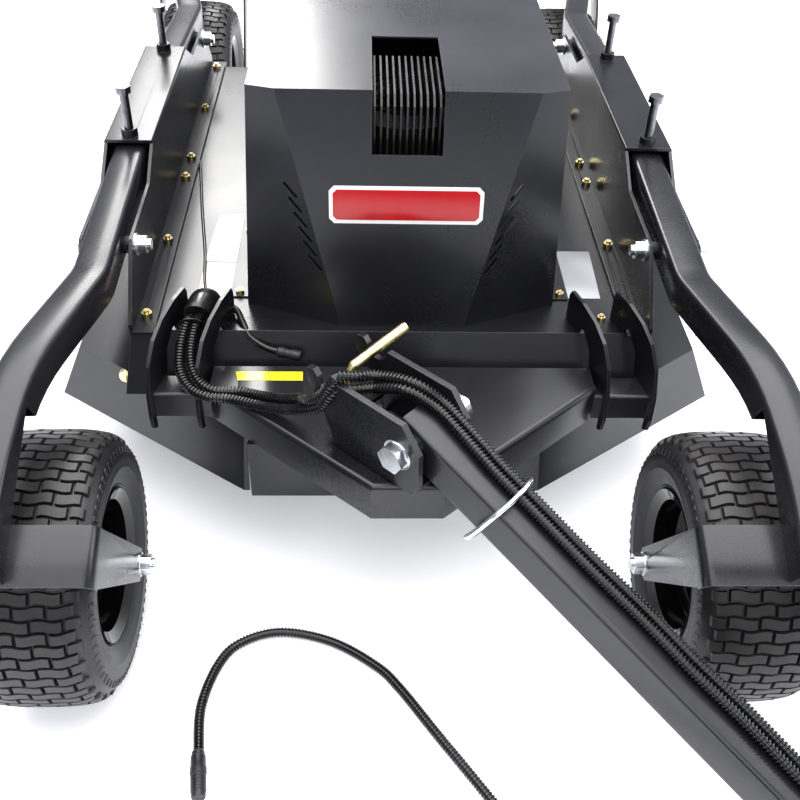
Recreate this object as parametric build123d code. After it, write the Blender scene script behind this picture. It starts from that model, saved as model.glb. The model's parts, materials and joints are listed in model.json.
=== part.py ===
from build123d import *
import os
from math import sin, cos, tan, atan2, radians, degrees, pi, hypot, sqrt

os.makedirs("parts", exist_ok=True)

# ---------------------------------------------------------------- driving dimensions (mm)
# working frame: X across, Y to the rear with 0 at the front axle, Z up from the ground
ORIGIN_X, ORIGIN_Y = 81.217, 657.856   # bottom centre of the bounding box, in the working frame
MID_Y = 885.0                      # front and rear running gear are mirrored about this plane
XH = 16.0                          # hood, hitch and drive centre line, offset from the wheel centre line

# wheels, 16 x 7.50-8 turf
TYRE_R, TYRE_W = 203.0, 190.0
WHEEL_X, AXLE_Z = 501.0, 203.0
BEAD_R, FLANGE_R = 101.0, 113.0
AXLE_R = 9.5
EAR_IN, EAR_OUT, PLATE = 382.0, 620.0, 6.0
WEB_Y, WEB_Z, WEB_W = -153.0, 408.0, 79.0
WEB_T = (0.885, 0.466)             # direction of the web's width, in Y and Z

# arms
ARM = 57.0
ARM_WALL = 4.0
PIV_Y, PIV_Z, PIV_R = 442.0, 484.0, 9.5
ARM_X, ARM_END_X = 467.0, 518.0
SCREW_Y, SCREW_R = 690.0, 8.0

# towers
TIN, TOUT = 424.0, 510.0
BRIDGE_Z = 549.0
RAIL_Z = 386.0

# deck
SKIRT_Z, CREASE_Z, TOP_Z, SHEET = 172.0, 284.0, 380.0, 4.0
SKIRT_PTS = [(-246, 182), (246, 182), (598, 428), (598, 1340), (420, 1560), (-420, 1560), (-598, 1340), (-598, 428)]
CREASE_PTS = [(-240, 200), (240, 200), (548, 426), (548, 1335), (392, 1540), (-392, 1540), (-548, 1335), (-548, 426)]
TIER_LOW = [(-444, 296), (444, 296), (456, 1440), (-456, 1440)]
TIER_TOP = [(-430, 347), (430, 347), (430, 1420), (-430, 1420)]

# hitch
YAW, PITCH = radians(46.8), radians(20.75)
BX, BY, BZ = 38.0, 56.0, 422.0
KX, KY = 16.0, 76.5
HALF_GAP, CHEEK = 47.0, 10.0
TONGUE, TONGUE_WALL, TONGUE_L = 63.5, 4.8, 1004.0
PIN_T, PIN_S, PIN_R = -138.0, 22.0, 8.0
HITCH_HOLE_R = 10.3

# cutting gear and drive
SPX, SPY = 16.0, 885.0
CRX, CRY = 16.0, 600.0
BELT_Z = 416.0


def loc(x, y, z=0.0):
    return Location((x, y, z))


def put(shape, node):
    export_step(Compound(children=[s for s in solids_of(shape)]) if len(solids_of(shape)) > 1 else solids_of(shape)[0], "parts/%s.step" % node)


def solids_of(shape):
    out = []
    items = shape if isinstance(shape, (list, tuple)) else [shape]
    for it in items:
        out += [s.moved(Location((-ORIGIN_X, -ORIGIN_Y, 0))) for s in it.solids()]
    return out


def cyl(p, d, r, h, r_in=0.0):
    """cylinder of length h from point p along direction d"""
    pl = Plane(origin=p, z_dir=d)
    s = extrude(pl * Circle(r), h)
    if r_in > 0:
        s = s - extrude(pl * Circle(r_in), h)
    return s


def hexa(p, d, af, h, r_in=0.0):
    pl = Plane(origin=p, z_dir=d)
    s = extrude(pl * RegularPolygon(af / 2, 6, major_radius=False), h)
    s = s & cyl(p, d, af / 2 * 1.12, h)
    if r_in > 0:
        s = s - cyl(p, d, r_in, h)
    return s


def yz(points, x0, x1):
    """plate with a YZ outline between two X values"""
    pl = Plane(origin=(x0, 0, 0), x_dir=(0, 1, 0), z_dir=(1, 0, 0))
    return extrude(pl * make_face(Polyline(*points, close=True)), x1 - x0)


def xy(points, z0, z1):
    return extrude(Plane.XY.offset(z0) * make_face(Polyline(*points, close=True)), z1 - z0)


def tier(low, high, z0, z1):
    a = Polyline(*[(x, y, z0) for x, y in low], close=True)
    b = Polyline(*[(x, y, z1) for x, y in high], close=True)
    return Solid.make_loft([Wire(a.edges()), Wire(b.edges())], True)


def inset(pts, d):
    """moves every corner of a convex counter-clockwise outline inwards by d"""
    n = len(pts)
    out = []
    for i in range(n):
        p0, p1, p2 = pts[i - 1], pts[i], pts[(i + 1) % n]
        a = (p1[0] - p0[0], p1[1] - p0[1])
        b = (p2[0] - p1[0], p2[1] - p1[1])
        la, lb = hypot(*a), hypot(*b)
        na, nb = (-a[1] / la, a[0] / la), (-b[1] / lb, b[0] / lb)
        k = 1 + na[0] * nb[0] + na[1] * nb[1]
        out.append((p1[0] + d * (na[0] + nb[0]) / k, p1[1] + d * (na[1] + nb[1]) / k))
    return out


def square_section(w, r, steps=3):
    pts = []
    h = w / 2 - r
    for cx, cy, a0 in ((h, h, 0), (-h, h, 90), (-h, -h, 180), (h, -h, 270)):
        for i in range(steps):
            a = radians(a0 + 90.0 * i / (steps - 1))
            pts.append((cx + r * cos(a), cy + r * sin(a)))
    return pts


def bent_tube(path, w, r, side=(1, 0, 0)):
    """tube of square section along a chain of points, mitred at each point"""
    P = [Vector(*p) for p in path]
    dirs = [(P[i + 1] - P[i]).normalized() for i in range(len(P) - 1)]
    s = Vector(*side)
    s = (s - dirs[0] * s.dot(dirs[0])).normalized()
    u = dirs[0].cross(s)
    ring = [P[0] + s * a + u * b for a, b in square_section(w, r)]
    wires = [Wire(Polyline(*ring, close=True).edges())]
    for i in range(1, len(P)):
        d = dirs[i - 1]
        n = d if i == len(P) - 1 else (d + dirs[i]).normalized()
        ring = [q + d * ((P[i] - q).dot(n) / d.dot(n)) for q in ring]
        wires.append(Wire(Polyline(*ring, close=True).edges()))
    return Solid.make_loft(wires, True)


def rounded(points, radius, n=5):
    """replaces each inner corner of a chain by a chain of n points on an arc-like curve"""
    out = [points[0]]
    for i in range(1, len(points) - 1):
        a, b, c = Vector(*points[i - 1]), Vector(*points[i]), Vector(*points[i + 1])
        r = radius[i - 1]
        if r <= 0:
            out.append(points[i])
            continue
        p, q = b + (a - b).normalized() * r, b + (c - b).normalized() * r
        for k in range(n + 1):
            t = k / n
            v = p * ((1 - t) ** 2) + b * (2 * t * (1 - t)) + q * (t * t)
            out.append((v.X, v.Y, v.Z))
    out.append(points[-1])
    return out


def flip_x(s):
    return s.mirror(Plane.YZ)


def flip_y(s):
    return s.mirror(Plane.XZ.offset(-MID_Y))


# ---------------------------------------------------------------- one corner of the running gear, front right
def corner():
    ax = (1, 0, 0)
    # tyre: closed hollow carcass
    hw = TYRE_W / 2
    prof = [(BEAD_R, -72), (118, -82), (150, -hw), (180, -hw + 4), (196, -hw + 18), (201, -50), (TYRE_R, 0),
            (201, 50), (196, hw - 18), (180, hw - 4), (150, hw), (118, 82), (BEAD_R, 72),
            (BEAD_R, 60), (112, 66), (150, hw - 10), (182, hw - 20), (192, 40), (193, 0), (192, -40), (182, -hw + 20),
            (150, -hw + 10), (112, -66), (BEAD_R, -60)]
    pl = Plane(origin=(WHEEL_X, 0, AXLE_Z), x_dir=(0, 0, 1), z_dir=(0, 1, 0))
    face = make_face(Polyline(*[(r, x) for r, x in prof], close=True))
    tyre = revolve(pl * face, axis=Axis((WHEEL_X, 0, AXLE_Z), ax), revolution_arc=360)
    # rim: barrel, flanges, dished disc with slots, hub
    rp = [(FLANGE_R, -70.5), (FLANGE_R, -67), (104, -59.5), (BEAD_R - 0.5, -58), (BEAD_R - 0.5, -34), (84, -28), (84, 28), (BEAD_R - 0.5, 34),
          (BEAD_R - 0.5, 58), (104, 59.5), (FLANGE_R, 67), (FLANGE_R, 70.5), (100, 62.5), (97, 58), (97, 36), (80.5, 31), (80.5, -31),
          (97, -36), (97, -58), (100, -62.5)]
    rp = [(FLANGE_R + 1, -86), (FLANGE_R + 1, -83), (BEAD_R - 1, -73), (BEAD_R - 0.5, -58), (BEAD_R - 0.5, -38), (84, -30), (84, 30), (BEAD_R - 0.5, 38),
          (BEAD_R - 0.5, 58), (BEAD_R - 1, 73), (FLANGE_R + 1, 83), (FLANGE_R + 1, 86), (98, 77), (96.5, 58), (96.5, 41), (80.5, 33), (80.5, -33),
          (96.5, -41), (96.5, -58), (98, -77)]
    barrel = revolve(pl * make_face(Polyline(*rp, close=True)), axis=Axis((WHEEL_X, 0, AXLE_Z), ax), revolution_arc=360)
    dp = [(22, -14), (40, -14), (58, -4), (80.5, -4), (80.5, 0), (56, 0), (38, -10), (22, -10)]
    disc = revolve(pl * make_face(Polyline(*dp, close=True)), axis=Axis((WHEEL_X, 0, AXLE_Z), ax), revolution_arc=360)
    for k in range(6):
        a = radians(60 * k)
        disc -= cyl((WHEEL_X - 20, 68 * cos(a), AXLE_Z + 68 * sin(a)), ax, 6.5, 40)
    hub = cyl((WHEEL_X - 97, 0, AXLE_Z), ax, 22, 194, 15)
    rim = barrel + disc + hub
    bush = [cyl((WHEEL_X - 99, 0, AXLE_Z), ax, 15, 30, AXLE_R + 0.05), cyl((WHEEL_X + 69, 0, AXLE_Z), ax, 15, 30, AXLE_R + 0.05)]
    # tyre and rim do not share space: the tyre's beads sit between the flanges
    tyre = tyre - rim
    # fork: bent plate
    pl2 = Plane(origin=(WHEEL_X, WEB_Y, WEB_Z), x_dir=(1, 0, 0), z_dir=(0, WEB_T[0], WEB_T[1]))
    hwid = (EAR_OUT - EAR_IN) / 2
    outer = extrude(pl2 * (Pos(0, 40) * RectangleRounded(2 * hwid, 80, 16)), WEB_W / 2, both=True)
    inner = extrude(pl2 * (Pos(0, 46) * RectangleRounded(2 * (hwid - PLATE), 80, 10)), WEB_W / 2 + 1, both=True)
    cut = extrude(pl2 * (Pos(0, 70) * Rectangle(2 * hwid + 4, 80)), WEB_W / 2 + 1, both=True)
    web = outer - inner - cut
    ty, tz = WEB_T
    ny, nz = 0.466, -0.885
    a1 = (WEB_Y + ty * WEB_W / 2 + ny * 18, WEB_Z + tz * WEB_W / 2 + nz * 18)
    a2 = (WEB_Y - ty * WEB_W / 2 + ny * 18, WEB_Z - tz * WEB_W / 2 + nz * 18)
    dx, dz = -WEB_Y / hypot(WEB_Y, WEB_Z - AXLE_Z), -(WEB_Z - AXLE_Z) / hypot(WEB_Y, WEB_Z - AXLE_Z)
    vx, vz = -dz, dx
    tip = [(20 * dx + 14 * vx, AXLE_Z + 20 * dz + 14 * vz), (8 * dx + 25 * vx, AXLE_Z + 8 * dz + 25 * vz)]
    tip2 = [(8 * dx - 25 * vx, AXLE_Z + 8 * dz - 25 * vz), (20 * dx - 14 * vx, AXLE_Z + 20 * dz - 14 * vz)]
    if vz < 0:
        tip, tip2 = tip2[::-1], tip[::-1]
    earp = [a1] + tip[::-1] + tip2[::-1] + [a2]
    ears = yz(earp, EAR_IN, EAR_IN + PLATE) + yz(earp, EAR_OUT - PLATE, EAR_OUT)
    fork = web + ears
    fork -= cyl((EAR_IN - 5, 0, AXLE_Z), ax, AXLE_R + 0.3, EAR_OUT - EAR_IN + 10)
    # axle bolt, washers, nut, spacers
    sp1 = cyl((EAR_IN + PLATE, 0, AXLE_Z), ax, 14, WHEEL_X - 99 - EAR_IN - PLATE - 0.5, AXLE_R)
    sp2 = cyl((WHEEL_X + 99.5, 0, AXLE_Z), ax, 14, EAR_OUT - PLATE - WHEEL_X - 99.5, AXLE_R)
    axle = cyl((EAR_IN - 23, 0, AXLE_Z), ax, AXLE_R, EAR_OUT - EAR_IN + 26) + hexa((EAR_OUT + 3, 0, AXLE_Z), ax, 28.6, 12)
    w1 = cyl((EAR_OUT, 0, AXLE_Z), ax, 18, 3, AXLE_R)
    w2 = cyl((EAR_IN - 3, 0, AXLE_Z), ax, 18, 3, AXLE_R)
    nut = hexa((EAR_IN - 18, 0, AXLE_Z), ax, 28.6, 15, AXLE_R)
    axle_set = [axle, w1, w2, nut, sp1, sp2]
    # arm: bent square tube, pivot tube, end trimmed to the fork's web
    path = [(ARM_X, 715, 516.5), (ARM_X, 320, 489), (ARM_END_X, 82, 497), (ARM_END_X, -95, 464), (ARM_END_X, -196, 402)]
    pts = rounded(path, [18, 75, 55])
    arm = bent_tube(pts, ARM, 8) - bent_tube(pts, ARM - 2 * ARM_WALL, 5)
    box = extrude(pl2 * (Pos(0, 100) * Rectangle(400, 200)), 200, both=True)
    arm -= box
    arm -= extrude(Plane(origin=(ARM_END_X, WEB_Y - ty * (WEB_W / 2 - 4), WEB_Z - tz * (WEB_W / 2 - 4)), z_dir=(0, -ty, -tz)) * Rectangle(300, 300), 200)
    arm -= cyl((ARM_X - 60, PIV_Y, PIV_Z), ax, 15, 120)
    pbush = cyl((TIN + PLATE + 0.5, PIV_Y, PIV_Z), ax, 15, TOUT - TIN - 2 * PLATE - 1, PIV_R + 0.05)
    # adjusting screw above the tail
    zc = 544.1
    screw = cyl((ARM_X, SCREW_Y, zc), (0, 0, 1), SCREW_R - 0.2, 90) + hexa((ARM_X, SCREW_Y, zc + 90), (0, 0, 1), 24, 12)
    # pivot bolt
    bolt = cyl((TIN - 26, PIV_Y, PIV_Z), ax, PIV_R, TOUT - TIN + 29) + hexa((TOUT + 3, PIV_Y, PIV_Z), ax, 28.6, 12)
    bw = cyl((TOUT, PIV_Y, PIV_Z), ax, 19, 3, PIV_R)
    bw2 = cyl((TIN - 3, PIV_Y, PIV_Z), ax, 19, 3, PIV_R)
    bn = hexa((TIN - 19, PIV_Y, PIV_Z), ax, 28.6, 16, PIV_R)
    return dict(tyre=[tyre], rim=[rim] + bush, fork=[fork], axle_bolt=axle_set, arm=[arm, pbush], height_screw=[screw]), [bolt, bw, bw2, bn]


parts, pivot_right = corner()
pivot_all = []
for fy, end in ((False, "front"), (True, "rear")):
    for fx, side in ((False, "right"), (True, "left")):
        for name, shapes in parts.items():
            out = []
            for s in shapes:
                q = flip_x(s) if fx else s
                q = flip_y(q) if fy else q
                out.append(q)
            put(out, "%s_%s_%s" % (end, side, name))
        for s in pivot_right:
            q = flip_x(s) if fx else s
            pivot_all.append(flip_y(q) if fy else q)
put(pivot_all, "pivot_bolts")


# ---------------------------------------------------------------- towers and rails, right side
prof = [(332, RAIL_Z), (332, 400), (425, 504), (600, 508), (670, BRIDGE_Z)]
prof += [(2 * MID_Y - y, z) for y, z in prof[::-1]]
tin = yz(prof, TIN, TIN + PLATE)
tout = yz([(y, z) for y, z in prof], TOUT - PLATE, TOUT)
bridge = Pos((TIN + TOUT) / 2, MID_Y, BRIDGE_Z + 3) * Box(TOUT - TIN, 430, 6)
bridge = fillet(bridge.edges().filter_by(Axis.Y).group_by(Axis.Z)[-1], 4)
ties = [Pos((TIN + TOUT) / 2, y, (RAIL_Z + BRIDGE_Z) / 2) * Box(TOUT - TIN - 2 * PLATE, 6, BRIDGE_Z - RAIL_Z) for y in (780, 2 * MID_Y - 780)]
foot = Pos(TIN + PLATE + 34, MID_Y, RAIL_Z + 3) * Box(68, 210, 6)
tower = tin + tout + bridge + ties[0] + ties[1]
for y in (PIV_Y, 2 * MID_Y - PIV_Y):
    tower -= cyl((TIN - 5, y, PIV_Z), (1, 0, 0), PIV_R + 0.3, 100)
for y in (SCREW_Y, 2 * MID_Y - SCREW_Y):
    tower += hexa((ARM_X, y, BRIDGE_Z + 6), (0, 0, 1), 26, 14)
    tower -= cyl((ARM_X, y, BRIDGE_Z - 5), (0, 0, 1), SCREW_R, 40)
put([tower, flip_x(tower)], "height_towers")
rail_y = [376, 607, 843, 927, 1163, 1394]
rail = Pos(TIN - 14, MID_Y, RAIL_Z - 3) * Box(40, 1106, 6)
rail = Pos(410, MID_Y, RAIL_Z - 3) * Box(40, 1106, 6)
for y in rail_y:
    rail -= cyl((408, y, RAIL_Z - 10), (0, 0, 1), 5.3, 30)
put([rail, flip_x(rail)], "side_rails")

# ---------------------------------------------------------------- deck
outer = tier(SKIRT_PTS, CREASE_PTS, SKIRT_Z, CREASE_Z)
top = tier(TIER_LOW, TIER_TOP, CREASE_Z - 0.5, TOP_Z)
slope = (CREASE_PTS[2][0] - SKIRT_PTS[2][0]) / (CREASE_Z - SKIRT_Z)
inn = tier(inset(SKIRT_PTS, SHEET), inset(CREASE_PTS, SHEET), SKIRT_Z - 0.01, CREASE_Z - SHEET)
inn2 = tier(inset(TIER_LOW, SHEET), inset(TIER_TOP, SHEET), CREASE_Z - SHEET - 0.5, TOP_Z - SHEET)
deck = outer + top - inn - inn2
deck -= Pos(0, 190, 220) * Box(472, 60, 120)          # open behind the front skirt plate
deck -= Pos(0, 1550, 221) * Box(760, 60, 104)         # rear discharge mouth
for sx in (1, -1):
    for y in rail_y:
        deck -= cyl((sx * 408, y, TOP_Z - 20), (0, 0, 1), 5.3, 40)
deck -= cyl((SPX, SPY, TOP_Z - 20), (0, 0, 1), 41, 40)
# carriage bolts through the skirt's slanted front faces, and one bolt each side on top
CARRIAGE = [((sx * 459, 357.3, 272.0), (sx * 0.575, -0.789, 0.217)) for sx in (1, -1)]
TOP_BOLTS = [(356, 386), (-361, 386)]
for p, d in CARRIAGE:
    deck -= cyl((p[0] - 30 * d[0], p[1] - 30 * d[1], p[2] - 30 * d[2]), d, 5.1, 50)
for x, y in TOP_BOLTS:
    deck -= cyl((x, y, TOP_Z - 20), (0, 0, 1), 4.1, 40)
put([deck], "deck_shell")
fsp = Pos(0, 172, 230) * Box(464, 5, 116)
fsp += Pos(0, 185, 286.5) * Box(464, 31, 5)
put([fsp], "front_skirt_plate")
flap = Pos(0, 1566, 215) * Box(780, 6, 96)
put([flap], "rear_flap")

# ---------------------------------------------------------------- front frame
TUBE, TY0 = 50.8, 231.0
tz0 = CREASE_Z + 5.2
tube = Pos(XH, TY0 + TUBE / 2, tz0 + TUBE / 2) * Box(818, TUBE, TUBE)
tube = fillet(tube.edges().filter_by(Axis.X), 6)
tube_in = Pos(XH, TY0 + TUBE / 2, tz0 + TUBE / 2) * Box(830, TUBE - 9, TUBE - 9)
ctube = tube - tube_in
put([ctube], "front_cross_tube")
NZ0, NZ1 = 291.0, 357.0
no = [(XH - 308, TY0), (XH - 53, 13), (XH + 53, 13), (XH + 308, TY0)]
pan_o = xy([(no[0][0], TY0 - 0.1)] + no[1:3] + [(no[3][0], TY0 - 0.1)], NZ0, NZ1)
pan_o = fillet(pan_o.faces().sort_by(Axis.Z)[-1].edges().filter_by(lambda e: e.center().Y < TY0 - 3), 9)
ni = [(XH - 308 + 9, TY0), (XH - 53 + 2.6, 19), (XH + 53 - 2.6, 19), (XH + 308 - 9, TY0)]
pan_i = xy([(ni[0][0], TY0 + 1)] + ni[1:3] + [(ni[3][0], TY0 + 1)], NZ0 - 1, NZ1 - 6)
pan = pan_o - pan_i
ext = Pos(XH, (TY0 + TY0 + TUBE) / 2, NZ1 - 3) * Box(612, TUBE, 6)
lip = Pos(XH, TY0 + TUBE - 3, (NZ1 - 6 + tz0 + TUBE) / 2) * Box(612, 6, NZ1 - 6 - tz0 - TUBE)
pan = pan + (Pos(XH, TY0 + TUBE / 2 - 0.05, NZ1 - 3) * Box(612, TUBE + 0.1, 6)) + lip
# kingpin hole and the lock pin's arc slot
pan -= cyl((KX, KY, NZ0 - 5), (0, 0, 1), 12.8, 90)
pin_x = BX + PIN_T * sin(YAW) - PIN_S * cos(YAW)
pin_y = BY - PIN_T * cos(YAW) - PIN_S * sin(YAW)
r_slot = hypot(pin_x - KX, pin_y - KY)
a_pin = degrees(atan2(pin_y - KY, pin_x - KX))
SWING = 93.6
slot = extrude(Plane.XY.offset(NZ0 - 5) * (Pos(KX, KY) * (Circle(r_slot + PIN_R + 1.2) - Circle(r_slot - PIN_R - 1.2))), 90)
wedge = xy([(KX, KY)] + [(KX + 400 * cos(radians(a_pin + 6 - (SWING + 12) * k / 8)), KY + 400 * sin(radians(a_pin + 6 - (SWING + 12) * k / 8))) for k in range(9)], NZ0 - 6, NZ1 + 5)
pan -= (slot & wedge)
put([pan], "nose_frame")
# gusset fins round the cross tube
fz = tz0 + TUBE
fin2d = [(228, 272), (219, 277), (216, 300), (219, 345), (233, 392), (262, 423), (300, 437), (350, 441), (392, 437), (398, 425), (398, TOP_Z + 1.5),
         (352, TOP_Z + 1.5), (292, 318), (286, 290), (286, fz + 1), (TY0 - 1, fz + 1), (TY0 - 1, 272)]
fin2d = [(228, 272), (219, 277), (216, 300), (219, 345), (233, 392), (262, 423), (300, 437), (350, 441), (392, 437), (398, 425), (398, TOP_Z + 1.5),
         (350, TOP_Z + 1.5), (345, 396), (330, 400), (300, 380), (290, fz + 1), (TY0 - 1, fz + 1), (TY0 - 1, 272)]
fins = []
for x0 in (XH + 318, XH + 394, XH - 318, XH - 394):
    sgn = 1 if x0 > XH else -1
    f = yz(fin2d, -3, 3)
    f = f.moved(Location((0, -256, 0))).rotate(Axis.Z, sgn * 14).moved(Location((x0, 256, 0)))
    f -= Pos(XH, TY0 + TUBE / 2, tz0 + TUBE / 2) * Box(840, TUBE + 0.4, TUBE + 0.4)
    f -= pan
    f -= deck
    f -= rail
    f -= flip_x(rail)
    f = f.solids().sort_by(SortBy.VOLUME)[-1]
    fins.append(f)
put(fins, "gusset_fins")

# ---------------------------------------------------------------- hitch
fw = (sin(YAW), -cos(YAW), 0.0)
lf = (-cos(YAW), -sin(YAW), 0.0)


def hp(t, s, z):
    """point at t along the hitch's heading, s to its left and height z"""
    return (BX + t * fw[0] + s * lf[0], BY + t * fw[1] + s * lf[1], z)


def cheek_plate(s0, s1):
    pts = [(-178, 476), (-164, 479), (-156, 470), (-150, 458), (-142, 454), (-132, 454), (-124, 460), (-116, 476), (4, 476), (36, 436), (38, 380), (30, 359.5),
           (-112, 359.5), (-128, 372), (-150, 424), (-178, 452)]
    pl = Plane(origin=hp(0, s0, 0), x_dir=fw, z_dir=(lf[0], lf[1], 0))
    d = 1.0 if (pl.y_dir.Z > 0) else -1.0
    return extrude(pl * make_face(Polyline(*[(a, b * d) for a, b in pts], close=True)), s1 - s0)


c1 = cheek_plate(HALF_GAP, HALF_GAP + CHEEK)
c2 = cheek_plate(-HALF_GAP - CHEEK, -HALF_GAP)
pb = Plane(origin=hp(-38, 0, 359.5), x_dir=fw, z_dir=(0, 0, 1))
base = extrude(pb * Rectangle(140, 2 * HALF_GAP), 8)
guide = cyl(hp(PIN_T, PIN_S, 372), (0, 0, 1), 15, 56, PIN_R + 0.08)
gbr = extrude(Plane(origin=hp(PIN_T, 0, 384), x_dir=fw, z_dir=(0, 0, 1)) * Rectangle(26, 2 * HALF_GAP), 8) - cyl(hp(PIN_T, PIN_S, 370), (0, 0, 1), 14, 70)
clevis = c1 + c2 + base + guide + gbr
clevis -= cyl(hp(0, -90, BZ), lf, 12.75, 180)
clevis -= cyl((KX, KY, 350), (0, 0, 1), 12.75, 40)
put([clevis], "hitch_clevis")
thrust = cyl((KX, KY, NZ1 + 0.1), (0, 0, 1), 34, 2.3, 12.8)
kp = cyl((KX, KY, NZ0 + 8), (0, 0, 1), 12.7, 82) + hexa((KX, KY, 369.4), (0, 0, 1), 38, 3)
kp = cyl((KX, KY, 318), (0, 0, 1), 12.7, 50.6) + cyl((KX, KY, 367.6), (0, 0, 1), 19, 5)
knut = hexa((KX, KY, 328), (0, 0, 1), 38, 22, 12.7)
put([kp, thrust, knut], "kingpin")
cb = cyl(hp(0, -HALF_GAP - CHEEK - 30, BZ), lf, 12.7, 2 * (HALF_GAP + CHEEK) + 33) + hexa(hp(0, HALF_GAP + CHEEK + 3, BZ), lf, 38.1, 16)
cw = cyl(hp(0, HALF_GAP + CHEEK, BZ), lf, 24, 3, 12.7)
cw2 = cyl(hp(0, -HALF_GAP - CHEEK - 3, BZ), lf, 24, 3, 12.7)
cn = hexa(hp(0, -HALF_GAP - CHEEK - 25, BZ), lf, 38.1, 22, 12.7)
sleeve = [cyl(hp(0, TONGUE / 2 + 0.6, BZ), lf, 19, HALF_GAP - TONGUE / 2 - 1.2, 12.7), cyl(hp(0, -HALF_GAP + 0.6, BZ), lf, 19, HALF_GAP - TONGUE / 2 - 1.2, 12.7)]
put([cb, cw, cw2, cn] + sleeve, "clevis_bolt")
# locking pin: upright shank with a bent handle that lies across the notches of the cheeks
z_tip = NZ1 - 8
shank = cyl(hp(PIN_T, PIN_S, z_tip), (0, 0, 1), PIN_R, 438 - z_tip)
e0 = Vector(*hp(PIN_T, PIN_S, 438))
e1 = Vector(*hp(PIN_T, 0, 468))
e2 = Vector(*hp(PIN_T + 2, -108, 480))
seg1 = cyl(e0, (e1 - e0), PIN_R, (e1 - e0).length)
seg2 = cyl(e1, (e2 - e1), PIN_R, (e2 - e1).length)
lock = shank + seg1 + seg2 + Pos(*e0) * Sphere(PIN_R) + Pos(*e1) * Sphere(PIN_R)
put([lock], "locking_pin")
# tongue: square tube with a jaw at its end
dv = Vector(fw[0] * cos(PITCH), fw[1] * cos(PITCH), -sin(PITCH))
up = Vector(fw[0] * sin(PITCH), fw[1] * sin(PITCH), cos(PITCH))
lv = Vector(*lf)
B = Vector(BX, BY, BZ)


def tp(t, s, u):
    p = B + dv * t + lv * s + up * u
    return (p.X, p.Y, p.Z)


pt = Plane(origin=tp(-30, 0, 0), x_dir=lf, z_dir=dv)
tong = extrude(pt * RectangleRounded(TONGUE, TONGUE, 7), TONGUE_L + 30)
tong -= extrude(pt * RectangleRounded(TONGUE - 2 * TONGUE_WALL, TONGUE - 2 * TONGUE_WALL, 3), TONGUE_L + 30)
tong -= cyl(tp(0, -60, 0), lv, 16, 120)
tbush = cyl(tp(0, -TONGUE / 2, 0), lv, 16, TONGUE, 12.75)
jaw = []
for sgn in (1, -1):
    pj = Plane(origin=tp(0, 0, sgn * TONGUE / 2 if sgn > 0 else -TONGUE / 2 - 8), x_dir=dv, z_dir=up)
    sk = Pos(TONGUE_L - 25, 0) * Rectangle(150, TONGUE) + Pos(TONGUE_L + 50, 0) * Circle(TONGUE / 2)
    j = extrude(pj * sk, 8)
    jaw.append(j)
pjw = Plane(origin=tp(TONGUE_L, 0, 0), x_dir=lf, z_dir=dv)
plate = extrude(pjw * Rectangle(TONGUE, TONGUE), 6)
jawt = jaw[0] + jaw[1] + plate
jawt -= cyl(tp(TONGUE_L + 50, 0, -80), up, HITCH_HOLE_R, 160)
put([tong, tbush, jawt], "tongue_tube")
# loom along the tongue, and the zinc clip round it
loom_t = []
for s in (-18, 8):
    loom_t.append(extrude(Plane(origin=tp(150, s, TONGUE / 2 + 13.2), x_dir=lf, z_dir=dv) * Circle(12), TONGUE_L - 275))
put(loom_t, "tongue_loom")
clip_o = extrude(Plane(origin=tp(205, 0, 15), x_dir=lf, z_dir=dv) * RectangleRounded(TONGUE + 20, TONGUE + 52, 12), 8)
clip_i = extrude(Plane(origin=tp(205, 0, 15), x_dir=lf, z_dir=dv) * RectangleRounded(TONGUE + 4, TONGUE + 36, 8), 8)
put([clip_o - clip_i], "loom_clip")
# loom from its boot down onto the nose
lp = [(-300, 352, 396), (-301, 322, 402), (-292, 285, 380), (-268, 232, 371), (-215, 190, 371), (-165, 178, 371)]
wire = Spline(*lp)
loom = sweep(Plane(origin=lp[0], z_dir=wire.tangent_at(0)) * Circle(11), path=wire)
boot = cyl((-300, 372, TOP_Z + 4), (0, -0.5, 1), 24, 34)
boot = boot - Pos(0, 0, 0) * (Pos(-300, 372, TOP_Z - 48) * Box(200, 200, 100))
boot = boot - fins[2] - fins[3]
boot = boot.solids().sort_by(SortBy.VOLUME)[-1]
loom = loom - boot
loom = loom - fins[2] - fins[3] - ctube - pan - deck
loom = loom.solids().sort_by(SortBy.VOLUME)[-1]
put([boot, loom], "deck_loom")

# ---------------------------------------------------------------- small bolts
bolts = []


def small_bolt(p, d, r, af, hh, below, thread=0.0):
    pl = Vector(*p)
    dvv = Vector(*d).normalized()
    q = pl - dvv * below
    return cyl((q.X, q.Y, q.Z), (dvv.X, dvv.Y, dvv.Z), r, below + hh + thread) + hexa(p, (dvv.X, dvv.Y, dvv.Z), af, hh)


for sx in (1, -1):
    for y in rail_y:
        bolts.append(small_bolt((sx * 408, y, RAIL_Z), (0, 0, 1), 5, 16, 8, 14, 5))
for x, y in TOP_BOLTS:
    bolts.append(small_bolt((x, y, TOP_Z), (0, 0, 1), 4, 13, 6, 12, 4))
for p, d in CARRIAGE:
    q = [p[i] + 0.25 * d[i] for i in range(3)]
    head = extrude(Plane(origin=q, z_dir=d) * Circle(13), 5, taper=42)
    bolts.append(head + cyl([q[i] - 18 * d[i] for i in range(3)], d, 5, 19))
HOOD_BOLTS = [(XH + sx * 278, y) for sx in (-1, 1) for y in (452, 650, 1000, 1200)]
for x, y in HOOD_BOLTS:
    bolts.append(small_bolt((x, y, TOP_Z + 3), (0, 0, 1), 4, 13, 6, 2.9, 3))
put(bolts, "frame_bolts")

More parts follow.
